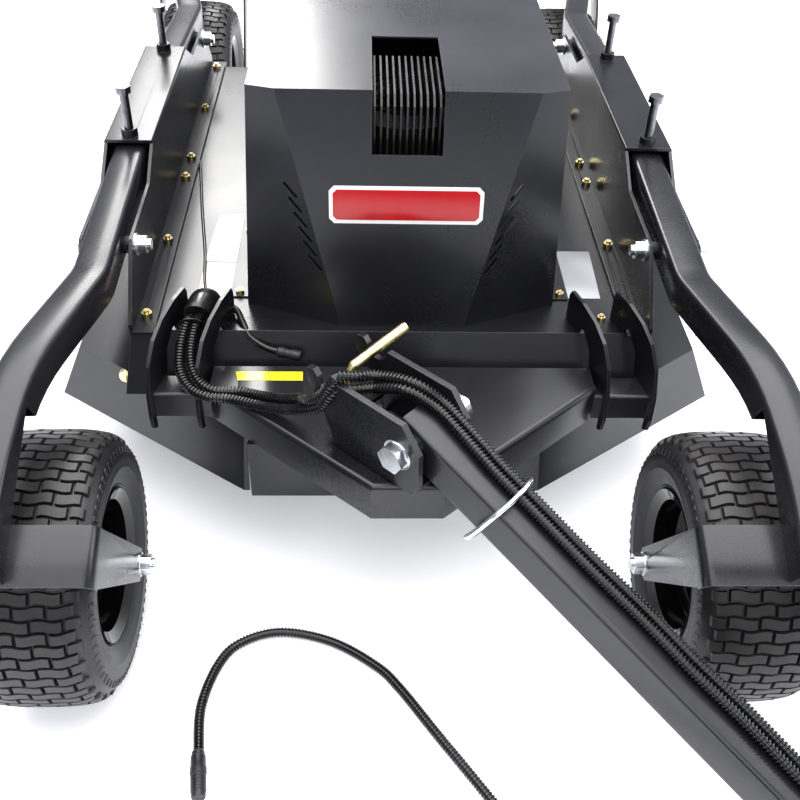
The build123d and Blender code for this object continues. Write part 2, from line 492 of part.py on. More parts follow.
# ---------------------------------------------------------------- hood
HZ1 = 760.0
hb = [(-103, 363), (103, 363), (262, 425), (262, 1230), (-262, 1230), (-262, 425)]
ht = [(-199, 431), (199, 431), (242, 443), (242, 1200), (-242, 1200), (-242, 443)]
hb = [(x + XH, y) for x, y in hb]
ht = [(x + XH, y) for x, y in ht]
hood_o = tier(hb, ht, TOP_Z + 0.5, HZ1)
hood_i = tier(inset(hb, 3), inset(ht, 3), TOP_Z, HZ1 - 3)
hood = hood_o - hood_i
for sx in (1, -1):
    hood += Pos(XH + sx * 276, 840, TOP_Z + 1.75) * Box(30, 800, 2.5)
# air opening over the front edge
hood -= xy([(XH - 54, 380), (XH + 54, 380), (XH + 54, 640), (XH - 54, 640)], 664, HZ1 + 5)
# louvres in the slanted side panels: upper end of the first and last, then lower end of the first and last
LOUVRE_ENDS = {-1: [(-174.6, 415.2, 616.5), (-138.8, 392.5, 498.8), (-153.5, 405.7, 593.7), (-116.5, 382.0, 474.6)],
               1: [(198.9, 412.7, 619.0), (167.7, 391.3, 498.3), (180.2, 403.9, 594.2), (148.0, 381.6, 472.0)]}
for sx in (1, -1):
    ends = LOUVRE_ENDS[sx]
    for k in range(6):
        f = k / 5.0
        a = Vector(*[p + (q - p) * f for p, q in zip(ends[0], ends[1])])
        b = Vector(*[p + (q - p) * f for p, q in zip(ends[2], ends[3])])
        m, d = (a + b) * 0.5, (b - a)
        nn = d.cross(Vector(sx * 0.932, 0.362, 0)).normalized()
        hood -= extrude(Plane(origin=(m.X, m.Y, m.Z), x_dir=(d.X, d.Y, d.Z), z_dir=(nn.X, nn.Y, nn.Z)) * SlotOverall(d.length, 5.0), 14, both=True)
# filler opening and rear opening
hood -= cyl((XH, 1000, HZ1 - 10), (0, 0, 1), 42, 20)
hood -= Pos(XH, 1220, 560) * Box(380, 120, 240)
for x, y in HOOD_BOLTS:
    hood -= cyl((x, y, TOP_Z), (0, 0, 1), 4.05, 6)
put([hood], "hood_shell")

# ---------------------------------------------------------------- engine and drive
eb = Pos(CRX, CRY + 10, 520) * Box(210, 230, 120)
eb = fillet(eb.edges().filter_by(Axis.Z), 18)
eb += Pos(CRX, CRY, 452) * Box(190, 190, 16)
head = Pos(CRX, CRY + 165, 522) * Box(120, 80, 80)
for k in range(6):
    head += Pos(CRX, CRY + 135 + 12 * k, 522) * Box(150, 4, 96)
eb += head
eb += cyl((CRX - 118, CRY - 40, 466), (0, 0, 1), 32, 108)
legs = []
for sx in (1, -1):
    for sy in (1, -1):
        eb += cyl((CRX + sx * 80, CRY + sy * 80, TOP_Z + 0.2), (0, 0, 1), 11, 66)
eb -= cyl((CRX, CRY, 440), (0, 0, 1), 14, 40)
put([eb], "engine_block")
bh = cyl((CRX, CRY, 582), (0, 0, 1), 132, 100) - cyl((CRX, CRY, 582), (0, 0, 1), 128, 94)
bh = bh - cyl((CRX, CRY, 670), (0, 0, 1), 84, 20)
scr = []
for r in (84, 66, 48, 30, 12):
    scr.append(cyl((CRX, CRY, 672), (0, 0, 1), r, 6, max(r - 9, 0)))
bars = Pos(CRX, CRY, 675) * Box(168, 8, 6) + Pos(CRX, CRY, 675) * Box(8, 168, 6)
grille = scr[0]
for s in scr[1:]:
    grille += s
grille += bars
grille &= cyl((CRX, CRY, 670), (0, 0, 1), 84, 20)
put([bh + grille], "blower_housing")
muf = Pos(CRX + 168, CRY + 80, 520) * Box(70, 170, 90)
muf = fillet(muf.edges().filter_by(Axis.Y), 20)
muf += cyl((CRX + 168, CRY + 164, 520), (0, 1, 0), 14, 40)
muf -= cyl((CRX + 168, CRY + 170, 520), (0, 1, 0), 11, 40)
put([muf], "muffler")
tank = Pos(XH, 1000, 640) * Box(380, 230, 130)
tank = fillet(tank.edges(), 24)
tank += cyl((XH, 1000, 700), (0, 0, 1), 26, 48)
tank -= cyl((XH, 1000, 690), (0, 0, 1), 22, 60)
put([tank], "fuel_tank")
cap = cyl((XH, 1000, 748.5), (0, 0, 1), 34, 22) + cyl((XH, 1000, 738), (0, 0, 1), 21.9, 11)
cap = cap + cyl((XH, 1000, 730), (0, 0, 1), 34, 20, 26.3)
put([cap], "fuel_cap")
bat = Pos(XH, 1125, 470) * Box(190, 130, 170)
bat = fillet(bat.edges().filter_by(Axis.Z), 6)
bat += cyl((XH - 65, 1125, 555), (0, 0, 1), 9, 15) + cyl((XH + 65, 1125, 555), (0, 0, 1), 9, 15)
put([bat], "battery")

CR_R, SP_R = 57.0, 76.0


def pulley(x, y, R, bore):
    p = [(bore, -12), (R, -12), (R, -10), (R - 8, -7.2), (R - 8, 7.2), (R, 10), (R, 12), (bore, 12)]
    pl = Plane(origin=(x, y, BELT_Z), x_dir=(1, 0, 0), z_dir=(0, -1, 0))
    return revolve(pl * make_face(Polyline(*p, close=True)), axis=Axis((x, y, 0), (0, 0, 1)), revolution_arc=360)


crank = cyl((CRX, CRY, BELT_Z - 14), (0, 0, 1), 12.5, 62)
put([pulley(CRX, CRY, CR_R, 12.5) + crank], "crank_pulley")
put([pulley(SPX, SPY, SP_R, 12.5)], "spindle_pulley")
hull_o = make_hull((Pos(CRX, CRY) * Circle(CR_R + 1)).edges() + (Pos(SPX, SPY) * Circle(SP_R + 1)).edges())
hull_i = make_hull((Pos(CRX, CRY) * Circle(CR_R - 7.4)).edges() + (Pos(SPX, SPY) * Circle(SP_R - 7.4)).edges())
belt = extrude(Plane.XY.offset(BELT_Z - 6) * hull_o, 12) - extrude(Plane.XY.offset(BELT_Z - 7) * hull_i, 14)
put([belt], "drive_belt")
# flat idler against the belt's outside
ang = (SP_R - CR_R) / (SPY - CRY)
idy = 740.0
belt_x = CRX + (CR_R + 1) + (idy - CRY) / (SPY - CRY) * (SP_R - CR_R)
ID_R = 30.0
idx = belt_x + ID_R / cos(ang) + 0.6
put([cyl((idx, idy, BELT_Z - 10), (0, 0, 1), ID_R, 20, 8.05)], "idler_pulley")
brk = cyl((idx, idy, TOP_Z + 5), (0, 0, 1), 8, BELT_Z + 14 - TOP_Z - 5) + Pos(idx + 26, idy, TOP_Z + 4) * Box(90, 36, 7) + cyl((idx, idy, BELT_Z + 11), (0, 0, 1), 12, 4)
put([brk], "idler_bracket")
ihx = idx
# spindle
sh = cyl((SPX, SPY, 236), (0, 0, 1), 40, 154, 26) + (cyl((SPX, SPY, TOP_Z + 0.2), (0, 0, 1), 72, 8, 26))
for k in range(4):
    a = radians(45 + 90 * k)
    sh += hexa((SPX + 58 * cos(a), SPY + 58 * sin(a), TOP_Z + 8.2), (0, 0, 1), 13, 4)
sh = sh & (Pos(SPX, SPY, 300) * Box(300, 300, 400))
put([sh], "spindle_housing")
brg = [cyl((SPX, SPY, 236), (0, 0, 1), 26, 15, 12.56), cyl((SPX, SPY, 370), (0, 0, 1), 26, 15, 12.56)]
put(brg, "spindle_bearings")
shaft = cyl((SPX, SPY, 188), (0, 0, 1), 12.5, 250)
shaft += cyl((SPX, SPY, 206), (0, 0, 1), 30, 14)
snut = hexa((SPX, SPY, BELT_Z + 12), (0, 0, 1), 32, 10, 12.5)
lnut = hexa((SPX, SPY, 182), (0, 0, 1), 32, 10, 12.5)
put([shaft, snut, lnut], "blade_spindle")
PB = 330.0
car = Pos(SPX, SPY, 199) * Box(2 * PB + 70, 90, 13.8)
car = fillet(car.edges().filter_by(Axis.Z), 30)
car -= cyl((SPX, SPY, 180), (0, 0, 1), 12.5, 60)
car -= cyl((SPX + PB, SPY, 180), (0, 0, 1), 9.5, 60)
car -= cyl((SPX - PB, SPY, 180), (0, 0, 1), 9.5, 60)
bb = []
for sx in (1, -1):
    bb.append(cyl((SPX + sx * PB, SPY, 178.5), (0, 0, 1), 9.5, 40) + cyl((SPX + sx * PB, SPY, 178.5), (0, 0, 1), 15, 5))
    bb.append(hexa((SPX + sx * PB, SPY, 206.1), (0, 0, 1), 28.6, 14, 9.5))
put([car] + bb, "blade_carrier")
for sx, nm in ((1, "swing_blade_a"), (-1, "swing_blade_b")):
    bl = Pos(SPX + sx * (PB + 100), SPY, 187.8) * Box(250, 60, 7.5)
    bl = bl - xy([(SPX + sx * (PB + 40), SPY + 31), (SPX + sx * (PB + 40), SPY + 28), (SPX + sx * (PB + 226), SPY + 28), (SPX + sx * (PB + 226), SPY + 31)], 186, 200)
    bl -= cyl((SPX + sx * PB, SPY, 170), (0, 0, 1), 9.56, 40)
    put([bl], nm)
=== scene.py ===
import json
import math
import random
import bpy
import numpy as np
from mathutils import Vector, Matrix


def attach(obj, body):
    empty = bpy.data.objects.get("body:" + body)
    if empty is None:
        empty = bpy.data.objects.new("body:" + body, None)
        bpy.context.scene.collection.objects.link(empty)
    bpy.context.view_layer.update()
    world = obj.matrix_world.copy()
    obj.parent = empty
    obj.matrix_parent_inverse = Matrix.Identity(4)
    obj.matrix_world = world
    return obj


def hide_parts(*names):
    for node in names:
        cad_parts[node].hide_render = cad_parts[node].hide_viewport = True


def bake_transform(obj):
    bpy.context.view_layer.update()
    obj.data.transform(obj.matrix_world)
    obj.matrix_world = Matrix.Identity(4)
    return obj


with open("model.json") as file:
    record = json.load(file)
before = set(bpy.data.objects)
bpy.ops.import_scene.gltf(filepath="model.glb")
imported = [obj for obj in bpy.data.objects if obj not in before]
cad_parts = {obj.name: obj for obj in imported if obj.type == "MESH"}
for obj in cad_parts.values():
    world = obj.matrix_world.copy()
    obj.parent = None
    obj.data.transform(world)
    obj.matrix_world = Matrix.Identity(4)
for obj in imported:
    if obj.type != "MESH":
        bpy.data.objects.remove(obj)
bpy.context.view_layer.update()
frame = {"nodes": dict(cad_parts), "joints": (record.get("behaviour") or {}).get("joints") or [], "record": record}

REC = frame["record"]
J = {j["name"]: j for j in frame["joints"]}
SP = J["blade_spin"]["pos_m"]
OX, OY = SP[0] - 0.016, SP[1] - 0.885          # working frame (mm): x from mid wheels, y from the front axle
rnd = random.Random(7)


def W(x, y, z):
    return Vector((x / 1000 + OX, y / 1000 + OY, z / 1000))


# ------------------------------------------------------------------ materials
class Tree:
    def __init__(self, name):
        self.m = bpy.data.materials.new(name)
        self.m.use_nodes = True
        self.t = self.m.node_tree
        self.t.nodes.clear()
        self.out = self.n("ShaderNodeOutputMaterial")
        self.b = self.n("ShaderNodeBsdfPrincipled")
        self.t.links.new(self.b.outputs[0], self.out.inputs[0])
        self.tc = self.n("ShaderNodeTexCoord").outputs["Object"]

    def n(self, kind, **kw):
        x = self.t.nodes.new(kind)
        for k, v in kw.items():
            setattr(x, k, v)
        return x

    def link(self, a, b):
        self.t.links.new(a, b)

    def noise(self, scale, detail=3.0, rough=0.55, stretch=None):
        v = self.tc
        if stretch:
            mp = self.n("ShaderNodeMapping")
            mp.inputs["Scale"].default_value = stretch
            self.link(v, mp.inputs[0])
            v = mp.outputs[0]
        x = self.n("ShaderNodeTexNoise")
        x.inputs["Scale"].default_value = scale
        x.inputs["Detail"].default_value = detail
        x.inputs["Roughness"].default_value = rough
        self.link(v, x.inputs["Vector"])
        return x.outputs["Fac"]

    def span(self, src, a, b, lo=0.35, hi=0.65):
        x = self.n("ShaderNodeMapRange")
        x.inputs["From Min"].default_value = lo
        x.inputs["From Max"].default_value = hi
        x.inputs["To Min"].default_value = a
        x.inputs["To Max"].default_value = b
        self.link(src, x.inputs["Value"])
        return x.outputs[0]

    def ramp(self, src, stops):
        x = self.n("ShaderNodeValToRGB")
        e = x.color_ramp.elements
        while len(e) < len(stops):
            e.new(0.5)
        for el, (p, c) in zip(e, stops):
            el.position = p
            el.color = (c[0], c[1], c[2], 1)
        self.link(src, x.inputs[0])
        return x.outputs[0]

    def mix(self, fac, a, b):
        x = self.n("ShaderNodeMix", data_type="RGBA")
        for s, v in ((x.inputs[0], fac), (x.inputs[6], a), (x.inputs[7], b)):
            if isinstance(v, (int, float)):
                s.default_value = v
            elif isinstance(v, tuple):
                s.default_value = (v[0], v[1], v[2], 1)
            else:
                self.link(v, s)
        return x.outputs[2]

    def math(self, op, a, b=0.0, c=0.0):
        x = self.n("ShaderNodeMath", operation=op)
        for s, v in zip(x.inputs, (a, b, c)):
            if isinstance(v, (int, float)):
                s.default_value = v
            else:
                self.link(v, s)
        return x.outputs[0]

    def edges(self, radius=0.0022, gain=7.0):
        """1 along convex and concave edges, 0 on flats"""
        bv = self.n("ShaderNodeBevel", samples=4)
        bv.inputs["Radius"].default_value = radius
        g = self.n("ShaderNodeNewGeometry")
        d = self.n("ShaderNodeVectorMath", operation="DOT_PRODUCT")
        self.link(bv.outputs[0], d.inputs[0])
        self.link(g.outputs["Normal"], d.inputs[1])
        one = self.math("SUBTRACT", 1.0, d.outputs["Value"])
        return self.math("MINIMUM", self.math("MULTIPLY", one, gain), 1.0)

    def bump(self, height, strength, dist, under=None):
        x = self.n("ShaderNodeBump")
        x.inputs["Strength"].default_value = strength
        x.inputs["Distance"].default_value = dist
        self.link(height, x.inputs["Height"])
        if under is not None:
            self.link(under, x.inputs["Normal"])
        self.link(x.outputs[0], self.b.inputs["Normal"])
        return x.outputs[0]

    def set(self, **kw):
        names = {"color": "Base Color", "rough": "Roughness", "metal": "Metallic", "coat": "Coat Weight",
                 "coat_rough": "Coat Roughness", "ior": "IOR", "sheen": "Sheen Weight", "spec": "Specular IOR Level",
                 "aniso": "Anisotropic"}
        for k, v in kw.items():
            s = self.b.inputs[names[k]]
            if isinstance(v, (int, float)):
                s.default_value = v
            elif isinstance(v, tuple):
                s.default_value = (v[0], v[1], v[2], 1)
            else:
                self.link(v, s)
        return self


def powder(name, base=(0.0072, 0.0073, 0.0094), rough=(0.28, 0.37), wear=True, coat=0.16):
    """satin black powder coat: orange peel, soft mottling, dust, rubbed edges"""
    t = Tree(name)
    mott = t.noise(3.2, 4)
    fine = t.noise(240, 2)
    col = t.mix(t.span(mott, 0, 1), base, tuple(c * 1.7 for c in base))
    dust = t.span(t.noise(11, 6, 0.65), 0.0, 0.028, 0.52, 0.80)
    col = t.mix(dust, col, (0.16, 0.15, 0.14))
    r = t.math("ADD", t.span(mott, rough[0], rough[1]), t.math("MULTIPLY", t.span(fine, -0.02, 0.02), 1.0))
    if wear:
        e = t.edges()
        ragged = t.span(t.noise(90, 3), 0.35, 1.0, 0.38, 0.62)
        em = t.math("MULTIPLY", e, ragged)
        col = t.mix(t.math("MULTIPLY", em, 0.55), col, (0.085, 0.086, 0.095))
        r = t.math("ADD", r, t.math("MULTIPLY", em, 0.10))
    peel = t.noise(520, 2, 0.5)
    b1 = t.bump(peel, 0.10, 0.0005)
    t.bump(t.noise(38, 2), 0.05, 0.0015, b1)
    t.set(color=col, rough=r, coat=coat, coat_rough=0.16, spec=0.5)
    return t.m


def metal(name, base, rough, var=0.12, edge=(0.9, 0.9, 0.9), scale=60, grime=0.3, stretch=None):
    t = Tree(name)
    n1 = t.noise(scale, 5, 0.6, stretch)
    n2 = t.noise(14, 4)
    dark = tuple(c * (1 - var) for c in base)
    light = tuple(min(1, c * (1 + var)) for c in base)
    col = t.mix(t.span(n1, 0, 1), dark, light)
    gr = t.span(t.noise(35, 6, 0.7), 0, grime, 0.5, 0.75)
    col = t.mix(gr, col, (0.09, 0.085, 0.08))
    e = t.edges(0.0012, 6)
    col = t.mix(t.math("MULTIPLY", e, 0.6), col, edge)
    r = t.math("ADD", t.span(n2, rough[0], rough[1]), t.math("MULTIPLY", gr, 0.5))
    t.bump(t.noise(700, 3), 0.12, 0.0002)
    t.set(color=col, rough=r, metal=1.0)
    return t.m


def yellow_zinc():
    """yellow chromate: gold with faint green and pink patches"""
    t = Tree("yellow_zinc")
    hue = t.noise(55, 3, 0.5)
    col = t.ramp(hue, [(0.34, (0.62, 0.66, 0.34)), (0.48, (0.86, 0.70, 0.34)), (0.58, (0.93, 0.80, 0.50)), (0.70, (0.83, 0.55, 0.42))])
    gr = t.span(t.noise(120, 5, 0.7), 0, 0.25, 0.52, 0.75)
    col = t.mix(gr, col, (0.16, 0.12, 0.06))
    t.bump(t.noise(620, 3), 0.10, 0.0002)
    t.set(color=col, rough=t.span(t.noise(30, 4), 0.20, 0.36), metal=1.0)
    return t.m


def rubber(name, base=(0.0175, 0.0160, 0.0165), rough=(0.34, 0.47), bump=0.22):
    t = Tree(name)
    n = t.noise(9, 5)
    col = t.mix(t.span(n, 0, 1), base, tuple(c * 1.6 for c in base))
    dust = t.span(t.noise(28, 6, 0.7), 0, 0.08, 0.5, 0.78)
    col = t.mix(dust, col, (0.17, 0.15, 0.13))
    e = t.math("MULTIPLY", t.edges(0.0012, 5), t.span(t.noise(150, 4), 0.2, 1.0))
    col = t.mix(t.math("MULTIPLY", e, 0.5), col, (0.07, 0.066, 0.066))
    b1 = t.bump(t.noise(900, 3, 0.6), bump, 0.0003)
    t.bump(t.noise(110, 4), 0.10, 0.0006, b1)
    t.set(color=col, rough=t.span(n, rough[0], rough[1]), spec=0.5, sheen=0.0)
    return t.m


def plastic(name, base=(0.010, 0.010, 0.011), rough=(0.20, 0.34), grain=0.08):
    t = Tree(name)
    n = t.noise(22, 4)
    col = t.mix(t.span(n, 0, 1), base, tuple(c * 1.8 for c in base))
    sc = t.span(t.noise(70, 6, 0.75), 0, 0.10, 0.55, 0.78)
    col = t.mix(sc, col, (0.15, 0.15, 0.15))
    e = t.edges(0.0008, 4)
    col = t.mix(t.math("MULTIPLY", e, 0.25), col, (0.08, 0.08, 0.08))
    t.bump(t.noise(800, 2), grain, 0.0002)
    t.set(color=col, rough=t.math("ADD", t.span(n, rough[0], rough[1]), t.math("MULTIPLY", sc, 0.4)), spec=0.55)
    return t.m


def cast(name, base=(0.20, 0.20, 0.205), rough=(0.45, 0.62), metallic=0.85):
    t = Tree(name)
    n = t.noise(40, 6, 0.65)
    col = t.mix(t.span(n, 0, 1), tuple(c * 0.7 for c in base), tuple(c * 1.2 for c in base))
    gr = t.span(t.noise(12, 6, 0.7), 0, 0.55, 0.5, 0.75)
    col = t.mix(gr, col, (0.035, 0.03, 0.026))
    col = t.mix(t.math("MULTIPLY", t.edges(0.002, 5), 0.4), col, tuple(min(1, c * 1.8) for c in base))
    b1 = t.bump(t.noise(420, 4, 0.7), 0.5, 0.0006)
    t.bump(t.noise(60, 4), 0.15, 0.001, b1)
    t.set(color=col, rough=t.span(n, rough[0], rough[1]), metal=metallic)
    return t.m


def hot_steel():
    """muffler: heat-tinted, spotted with rust"""
    t = Tree("hot_steel")
    n = t.noise(7, 5)
    col = t.ramp(n, [(0.35, (0.20, 0.19, 0.185)), (0.50, (0.28, 0.22, 0.16)), (0.62, (0.18, 0.16, 0.20)), (0.75, (0.12, 0.07, 0.045))])
    rust = t.span(t.noise(60, 7, 0.75), 0, 0.9, 0.55, 0.70)
    col = t.mix(rust, col, (0.16, 0.06, 0.025))
    t.bump(t.noise(300, 5, 0.7), 0.4, 0.0005)
    t.set(color=col, rough=t.math("ADD", 0.38, t.math("MULTIPLY", rust, 0.35)), metal=t.math("SUBTRACT", 0.95, t.math("MULTIPLY", rust, 0.8)))
    return t.m


def printed(name, base, stripe=None, rough=0.22):
    """printed vinyl: even ink with a fine screen, scuffed gloss film"""
    t = Tree(name)
    scr = t.noise(1400, 2)
    col = t.mix(t.span(scr, 0, 1), base, tuple(min(1, c * 1.10 + 0.004) for c in base))
    fade = t.span(t.noise(9, 4), 0, 0.05, 0.45, 0.75)
    col = t.mix(fade, col, tuple(min(1, c * 0.8 + 0.06) for c in base))
    sc = t.span(t.noise(80, 7, 0.8), 0, 0.3, 0.58, 0.8)
    t.bump(t.noise(500, 3), 0.05, 0.0002)
    t.set(color=col, rough=t.math("ADD", rough, t.math("MULTIPLY", sc, 0.5)), coat=0.4, coat_rough=0.12)
    return t.m


M = {
    "black_powder_coat": powder("black_powder_coat"),
    "frame_coat": powder("frame_coat", (0.010, 0.010, 0.012), (0.25, 0.34)),
    "hood_coat": powder("hood_coat", (0.0125, 0.0127, 0.0165), (0.27, 0.35)),
    "tyre_rubber": rubber("tyre_rubber"),
    "sidewall_rubber": rubber("sidewall_rubber", (0.0125, 0.0125, 0.0145), (0.36, 0.47), 0.16),
    "gloss_black_rim": powder("gloss_black_rim", (0.0035, 0.0035, 0.0042), (0.06, 0.11), True, 0.35),
    "silver_zinc": metal("silver_zinc", (0.70, 0.72, 0.75), (0.18, 0.32), 0.10, (0.95, 0.96, 0.98), 70, 0.18),
    "dark_zinc": metal("dark_zinc", (0.20, 0.20, 0.215), (0.30, 0.45), 0.2, (0.5, 0.5, 0.52), 60, 0.4),
    "yellow_zinc": yellow_zinc(),
    "flap_rubber": rubber("flap_rubber", (0.018, 0.018, 0.018), (0.55, 0.7), 0.4),
    "belt_rubber": rubber("belt_rubber", (0.022, 0.021, 0.020), (0.6, 0.75), 0.4),
    "loom_plastic": plastic("loom_plastic", (0.0075, 0.0075, 0.008), (0.17, 0.30)),
    "cast_engine": cast("cast_engine"),
    "hot_steel": hot_steel(),
    "cast_iron_grey": cast("cast_iron_grey", (0.075, 0.074, 0.072), (0.5, 0.68), 0.6),
    "black_plastic": plastic("black_plastic", (0.013, 0.013, 0.014), (0.35, 0.5), 0.3),
    "bright_steel": metal("bright_steel", (0.48, 0.475, 0.465), (0.26, 0.42), 0.16, (0.8, 0.8, 0.8), 90, 0.45, (1, 1, 6)),
    "blade_steel": metal("blade_steel", (0.24, 0.232, 0.222), (0.35, 0.5), 0.25, (0.62, 0.62, 0.62), 45, 0.6, (4, 1, 1)),
    "red_vinyl": printed("red_vinyl", (0.42, 0.002, 0.006)),
    "white_vinyl": printed("white_vinyl", (0.80, 0.80, 0.80)),
    "yellow_vinyl": printed("yellow_vinyl", (0.78, 0.66, 0.02)),
    "black_vinyl": printed("black_vinyl", (0.012, 0.012, 0.014)),
    "grey_vinyl": printed("grey_vinyl", (0.33, 0.34, 0.36)),
    "blush_vinyl": printed("blush_vinyl", (0.72, 0.58, 0.52)),
}

# ------------------------------------------------------------------ CAD nodes: finish, soft edges
slot_of = {s["node"]: s["material_slot"] for s in REC["subparts"]}


def gn_smooth(angle):
    g = bpy.data.node_groups.new("edge_shading_%d" % angle, "GeometryNodeTree")
    g.interface.new_socket("Geometry", in_out="INPUT", socket_type="NodeSocketGeometry")
    g.interface.new_socket("Geometry", in_out="OUTPUT", socket_type="NodeSocketGeometry")
    i, o = g.nodes.new("NodeGroupInput"), g.nodes.new("NodeGroupOutput")
    a = g.nodes.new("GeometryNodeSetShadeSmooth"); a.domain = "FACE"
    b = g.nodes.new("GeometryNodeSetShadeSmooth"); b.domain = "EDGE"
    ang = g.nodes.new("GeometryNodeInputMeshEdgeAngle")
    cmp_ = g.nodes.new("FunctionNodeCompare"); cmp_.operation = "LESS_THAN"
    cmp_.inputs[1].default_value = math.radians(angle)
    g.links.new(ang.outputs[0], cmp_.inputs[0])
    g.links.new(i.outputs[0], a.inputs["Geometry"])
    a.inputs["Shade Smooth"].default_value = True
    g.links.new(a.outputs[0], b.inputs["Geometry"])
    g.links.new(cmp_.outputs[0], b.inputs["Shade Smooth"])
    g.links.new(b.outputs[0], o.inputs[0])
    return g


SMOOTH = gn_smooth(35)
SMOOTH_WIDE = gn_smooth(50)
SMOOTH_FLAT = gn_smooth(9)
FLAT = ("deck_shell", "hood_shell", "nose_frame", "front_skirt_plate", "height_towers", "hitch_clevis", "gusset_fins", "side_rails", "rear_flap")
BEVEL = {"deck_shell": 0.0012, "hood_shell": 0.0010, "nose_frame": 0.0014, "front_skirt_plate": 0.0012, "height_towers": 0.0012,
         "hitch_clevis": 0.0014, "gusset_fins": 0.0014, "side_rails": 0.0010}
for name, o in frame["nodes"].items():
    key = slot_of.get(name, "black_powder_coat")
    if name == "hood_shell":
        key2 = "hood_coat"
    elif name in ("nose_frame", "front_cross_tube", "hitch_clevis", "tongue_tube") or name.endswith(("_arm", "_fork")):
        key2 = "frame_coat"
    else:
        key2 = key
    o.data.materials.clear()
    o.data.materials.append(M[key2])
    w = o.modifiers.new("weld", "WELD")
    w.merge_threshold = 0.00002
    if name in BEVEL or name.endswith("_fork"):
        bv = o.modifiers.new("bevel", "BEVEL")
        bv.limit_method = "ANGLE"
        bv.angle_limit = math.radians(14)
        bv.width = BEVEL.get(name, 0.0012)
        bv.segments = 2
        bv.use_clamp_overlap = True
        bv.harden_normals = False
    s = o.modifiers.new("shade", "NODES")
    s.node_group = SMOOTH_WIDE if name.endswith("_arm") or name in ("tongue_tube", "front_cross_tube") else SMOOTH_FLAT if name in FLAT else SMOOTH


# ------------------------------------------------------------------ mesh helpers
def mesh(name, verts, faces, mat, body, smooth=35, mats=None, idx=None):
    me = bpy.data.meshes.new(name)
    me.from_pydata([tuple(v) for v in verts], [], faces)
    me.update()
    me.polygons.foreach_set("use_smooth", [True] * len(me.polygons))
    if smooth:
        me.set_sharp_from_angle(angle=math.radians(smooth))
    o = bpy.data.objects.new(name, me)
    bpy.context.scene.collection.objects.link(o)
    for m in (mats or [mat]):
        me.materials.append(M[m])
    if idx:
        me.polygons.foreach_set("material_index", idx)
    if body:
        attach(o, body)
    return o


def frames_along(pts):
    """tangents and a parallel-transported pair of normals at each point"""
    P = [Vector(p) for p in pts]
    T = []
    for i in range(len(P)):
        a = P[max(i - 1, 0)]
        b = P[min(i + 1, len(P) - 1)]
        T.append((b - a).normalized())
    n = T[0].cross(Vector((0, 0, 1)))
    if n.length < 0.1:
        n = T[0].cross(Vector((0, 1, 0)))
    n.normalize()
    out = []
    for t in T:
        n = (n - t * n.dot(t)).normalized()
        out.append((t, n, t.cross(n)))
    return P, out


def spline(pts, step):
    """Catmull-Rom through the points, resampled at an even step"""
    P = [Vector(p) for p in pts]
    P = [P[0] * 2 - P[1]] + P + [P[-1] * 2 - P[-2]]
    dense = []
    for i in range(1, len(P) - 2):
        p0, p1, p2, p3 = P[i - 1], P[i], P[i + 1], P[i + 2]
        for k in range(40):
            t = k / 40
            dense.append(0.5 * ((2 * p1) + (p2 - p0) * t + (2 * p0 - 5 * p1 + 4 * p2 - p3) * t * t + (3 * p1 - p0 - 3 * p2 + p3) * t ** 3))
    dense.append(P[-2])
    out, acc = [dense[0]], 0.0
    for a, b in zip(dense, dense[1:]):
        L = (b - a).length
        while acc + L >= step and L > 0:
            r = (step - acc) / L
            a = a + (b - a) * r
            out.append(a.copy())
            L = (b - a).length
            acc = 0.0
        acc += L
    return out


def tube_mesh(rings_pts, radii, sides, caps=True, fr=None, off=0):
    P, F = frames_along(rings_pts) if fr is None else fr
    verts, faces = [], []
    for p, (t, n, b), r in zip(P, F, radii):
        for k in range(sides):
            a = 2 * math.pi * k / sides
            verts.append(p + n * (r * math.cos(a)) + b * (r * math.sin(a)))
    for i in range(len(P) - 1):
        for k in range(sides):
            a, c = i * sides + k, i * sides + (k + 1) % sides
            faces.append((a + off, c + off, c + sides + off, a + sides + off))
    if caps:
        faces.append(tuple(off + k for k in reversed(range(sides))))
        faces.append(tuple(off + (len(P) - 1) * sides + k for k in range(sides)))
    return verts, faces


def corrugated(path, r_lo, r_hi, pitch=0.0056, sides=18):
    """split loom: square-topped ribs along an even path"""
    fine = spline(path, pitch / 8)
    P, F = frames_along(fine)
    pat = [(0, r_lo), (1, r_hi), (4, r_hi), (5, r_lo)]
    idx, rad = [], []
    i = 0
    while i + 8 < len(P):
        for k, r in pat:
            idx.append(i + k)
            rad.append(r)
        i += 8
    idx.append(min(i, len(P) - 1))
    rad.append(r_lo)
    return tube_mesh(None, rad, sides, True, ([P[k] for k in idx], [F[k] for k in idx]))


def merge(parts):
    V, Fc = [], []
    for v, f in parts:
        o = len(V)
        V += list(v)
        Fc += [tuple(i + o for i in q) for q in f]
    return V, Fc


def rod(path, r, sides=14, step=0.004):
    pts = spline(path, step)
    n = len(pts)
    rad = [r] * n
    rad[0] = rad[-1] = r * 0.8
    return tube_mesh(pts, rad, sides)


def slab(corners, normal, thick, inset_=0.0006):
    """thin plate with eased edges: corners counter-clockwise seen from the normal"""
    N = Vector(normal).normalized()
    C = [Vector(c) for c in corners]
    n = len(C)
    mid = sum(C, Vector()) / n
    V = [c for c in C] + [c + N * (thick * 0.7) for c in C] + [c + (mid - c).normalized() * inset_ + N * thick for c in C]
    F = [tuple(reversed(range(n)))]
    for lvl in (0, 1):
        for i in range(n):
            a, b = lvl * n + i, lvl * n + (i + 1) % n
            F.append((a, b, b + n, a + n))
    F.append(tuple(2 * n + i for i in range(n)))
    return V, F


# ------------------------------------------------------------------ tyres
R_T, HW = 0.203, 0.095


